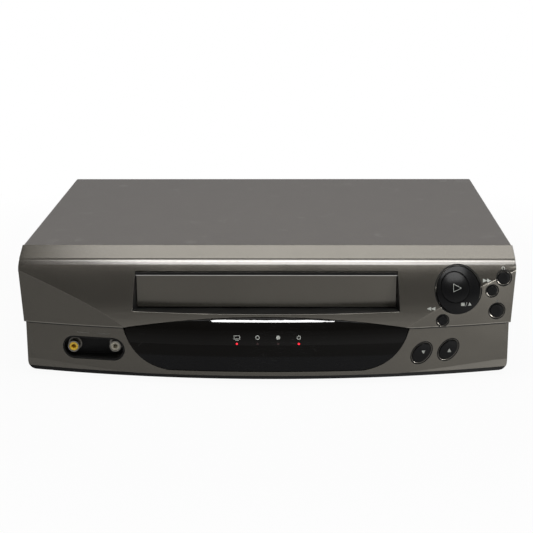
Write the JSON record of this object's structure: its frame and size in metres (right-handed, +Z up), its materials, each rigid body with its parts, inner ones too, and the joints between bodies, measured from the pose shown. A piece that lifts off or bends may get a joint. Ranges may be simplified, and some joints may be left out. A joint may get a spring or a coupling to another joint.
{
  "type": "video cassette recorder",
  "caption": "Front loading video cassette recorder: hinged slot flap, sliding and sinking cassette carriage, arched display window, push keys, tape deck with drum, reels and loading arms.",
  "frame": {"origin": "on the ground under the middle of the recorder's bounding box", "axes": "+X to the right seen from the front, +Y to the back, +Z up; the flap and keys face -Y"},
  "size_m": [0.36, 0.29, 0.094],
  "materials": {
    "fascia_plastic": "metallic taupe moulding",
    "black_plastic": "fine satin",
    "key_plastic": "satin gloss",
    "window_plastic": "dark glossy lens",
    "cover_paint": "fine textured paint",
    "chassis_plastic": "matt",
    "rubber_black": "matt",
    "zinc_steel": "zinc plated",
    "polished_steel": "polished",
    "cast_alloy": "machined",
    "brass_bush": "turned",
    "yellow_plastic": "yellow",
    "white_plastic": "white",
    "gear_plastic": "natural",
    "lamp_plastic": "red tinted",
    "board_laminate": "green solder mask",
    "switch_plastic": "black",
    "capacitor_sleeve": "dark blue sleeve",
    "transformer_core": "varnished"
  },
  "bodies": {
    "cabinet": {"chassis_frame": "chassis_plastic", "feet": "rubber_black", "top_cover": "cover_paint", "rear_panel": "black_plastic", "cover_screws": "zinc_steel", "front_fascia": "fascia_plastic", "display_window": "window_plastic", "indicator_leds": "lamp_plastic", "jack_bezel": "black_plastic", "jack_shells": "polished_steel", "video_jack_insert": "yellow_plastic", "audio_jack_insert": "white_plastic", "front_circuit_board": "board_laminate", "tact_switches": "switch_plastic", "main_circuit_board": "board_laminate", "board_capacitors": "capacitor_sleeve", "board_chips": "switch_plastic", "heat_sink": "cast_alloy", "power_transformer": "transformer_core", "tuner_module": "zinc_steel", "antenna_connectors": "polished_steel", "cord_gland": "rubber_black", "deck_plate": "zinc_steel", "deck_screws": "zinc_steel", "retaining_clips": "zinc_steel", "loader_brackets": "zinc_steel", "loader_bridge": "zinc_steel", "drum_base": "cast_alloy", "lower_drum": "cast_alloy", "capstan_bearing": "brass_bush", "drive_belt": "rubber_black", "loading_motor": "zinc_steel", "erase_head": "polished_steel", "audio_control_head": "polished_steel"},
    "cassette_door": {"cassette_door": "fascia_plastic"},
    "play_button": {"play_button": "key_plastic"},
    "stop_eject_button": {"stop_eject_button": "key_plastic"},
    "power_button": {"power_button": "key_plastic"},
    "record_button": {"record_button": "key_plastic"},
    "rewind_button": {"rewind_button": "key_plastic"},
    "fast_forward_button": {"fast_forward_button": "key_plastic"},
    "channel_down_button": {"channel_down_button": "key_plastic"},
    "channel_up_button": {"channel_up_button": "key_plastic"},
    "channel_switch": {"channel_switch": "black_plastic"},
    "carriage_slider": {"carriage_slider": "zinc_steel"},
    "cassette_holder": {"cassette_holder": "zinc_steel"},
    "carriage_drive_shaft": {"carriage_drive_shaft": "gear_plastic"},
    "upper_drum": {"upper_drum": "cast_alloy"},
    "capstan_flywheel": {"capstan_flywheel": "polished_steel"},
    "clutch_pulley": {"clutch_pulley": "gear_plastic"},
    "idler_arm": {"idler_arm": "zinc_steel"},
    "idler_wheel": {"idler_wheel": "rubber_black"},
    "supply_reel": {"supply_reel": "black_plastic"},
    "takeup_reel": {"takeup_reel": "black_plastic"},
    "pinch_arm": {"pinch_arm": "zinc_steel"},
    "pinch_roller": {"pinch_roller": "rubber_black"},
    "supply_loading_arm": {"supply_loading_arm": "gear_plastic"},
    "takeup_loading_arm": {"takeup_loading_arm": "gear_plastic"},
    "mode_cam_gear": {"mode_cam_gear": "gear_plastic"},
    "motor_pinion": {"motor_pinion": "gear_plastic"}
  },
  "joints": [
    {"name": "door_hinge", "type": "hinge", "parent": "cabinet", "child": "cassette_door", "pos_m": [0, -0.1205, 0.0772], "axis": [1, 0, 0], "range_deg": [0, 82], "stiffness_Nm_per_rad": 0.01},
    {"name": "play_press", "type": "slide", "parent": "cabinet", "child": "play_button", "axis": [0, 1, 0], "range_m": [0, 0.0015], "stiffness_N_per_m": 600},
    {"name": "stop_eject_press", "type": "slide", "parent": "cabinet", "child": "stop_eject_button", "axis": [0, 1, 0], "range_m": [0, 0.0015], "stiffness_N_per_m": 600},
    {"name": "power_press", "type": "slide", "parent": "cabinet", "child": "power_button", "axis": [0, 1, 0], "range_m": [0, 0.0012], "stiffness_N_per_m": 600},
    {"name": "record_press", "type": "slide", "parent": "cabinet", "child": "record_button", "axis": [0, 1, 0], "range_m": [0, 0.0012], "stiffness_N_per_m": 600},
    {"name": "rewind_press", "type": "slide", "parent": "cabinet", "child": "rewind_button", "axis": [0, 1, 0], "range_m": [0, 0.0012], "stiffness_N_per_m": 600},
    {"name": "fast_forward_press", "type": "slide", "parent": "cabinet", "child": "fast_forward_button", "axis": [0, 1, 0], "range_m": [0, 0.0012], "stiffness_N_per_m": 600},
    {"name": "channel_down_press", "type": "slide", "parent": "cabinet", "child": "channel_down_button", "axis": [0, 1, 0], "range_m": [0, 0.0012], "stiffness_N_per_m": 600},
    {"name": "channel_up_press", "type": "slide", "parent": "cabinet", "child": "channel_up_button", "axis": [0, 1, 0], "range_m": [0, 0.0012], "stiffness_N_per_m": 600},
    {"name": "channel_switch_slide", "type": "slide", "parent": "cabinet", "child": "channel_switch", "axis": [1, 0, 0], "range_m": [0, 0.004]},
    {"name": "carriage_slide", "type": "slide", "parent": "cabinet", "child": "carriage_slider", "axis": [0, 1, 0], "range_m": [0, 0.06]},
    {"name": "holder_drop", "type": "slide", "parent": "carriage_slider", "child": "cassette_holder", "axis": [0, 0, -1], "range_m": [0, 0.0175]},
    {"name": "drive_shaft_spin", "type": "hinge", "parent": "cabinet", "child": "carriage_drive_shaft", "pos_m": [0, -0.029, 0.084], "axis": [1, 0, 0], "range_deg": [0, 575]},
    {"name": "upper_drum_spin", "type": "hinge", "parent": "cabinet", "child": "upper_drum", "pos_m": [0, 0.072, 0.0275], "axis": [0, 0.0872, 0.9962], "continuous": true},
    {"name": "capstan_spin", "type": "hinge", "parent": "cabinet", "child": "capstan_flywheel", "pos_m": [0.066, 0.03, 0.02], "axis": [0, 0, 1], "continuous": true},
    {"name": "clutch_spin", "type": "hinge", "parent": "cabinet", "child": "clutch_pulley", "pos_m": [0, -0.048, 0.0275], "axis": [0, 0, 1], "continuous": true},
    {"name": "idler_swing", "type": "hinge", "parent": "cabinet", "child": "idler_arm", "pos_m": [0, -0.048, 0.0275], "axis": [0, 0, 1], "range_deg": [-24, 24]},
    {"name": "idler_wheel_spin", "type": "hinge", "parent": "idler_arm", "child": "idler_wheel", "pos_m": [0, -0.0239, 0.03], "axis": [0, 0, 1], "continuous": true},
    {"name": "supply_reel_spin", "type": "hinge", "parent": "cabinet", "child": "supply_reel", "pos_m": [-0.046, -0.025, 0.03], "axis": [0, 0, 1], "continuous": true},
    {"name": "takeup_reel_spin", "type": "hinge", "parent": "cabinet", "child": "takeup_reel", "pos_m": [0.046, -0.025, 0.03], "axis": [0, 0, 1], "continuous": true},
    {"name": "pinch_arm_swing", "type": "hinge", "parent": "cabinet", "child": "pinch_arm", "pos_m": [0.09, 0.046, 0.036], "axis": [0, 0, 1], "range_deg": [0, 22]},
    {"name": "pinch_roller_spin", "type": "hinge", "parent": "pinch_arm", "child": "pinch_roller", "pos_m": [0.06464, 0.04729, 0.04], "axis": [0, 0, 1], "continuous": true},
    {"name": "takeup_arm_swing", "type": "hinge", "parent": "cabinet", "child": "takeup_loading_arm", "pos_m": [0.02, 0.034, 0.0235], "axis": [0, 0, 1], "range_deg": [0, 68]},
    {"name": "supply_arm_swing", "type": "hinge", "parent": "cabinet", "child": "supply_loading_arm", "pos_m": [-0.02, 0.034, 0.0235], "axis": [0, 0, 1], "range_deg": [-68, 0]},
    {"name": "mode_cam_turn", "type": "hinge", "parent": "cabinet", "child": "mode_cam_gear", "pos_m": [-0.072, 0.052, 0.03], "axis": [0, 0, 1], "range_deg": [0, 300]},
    {"name": "motor_pinion_turn", "type": "hinge", "parent": "cabinet", "child": "motor_pinion", "pos_m": [-0.072, 0.081, 0.03], "axis": [0, 0, 1], "range_deg": [-944, 0]}
  ],
  "couplings": [
    {"joint": "drive_shaft_spin", "follows": "carriage_slide", "rad_per_m": 166.67},
    {"joint": "clutch_spin", "follows": "capstan_spin", "ratio": 0.53333},
    {"joint": "idler_wheel_spin", "follows": "capstan_spin", "ratio": -0.53333},
    {"joint": "supply_arm_swing", "follows": "takeup_arm_swing", "ratio": -1},
    {"joint": "motor_pinion_turn", "follows": "mode_cam_turn", "ratio": -3.1429}
  ]
}
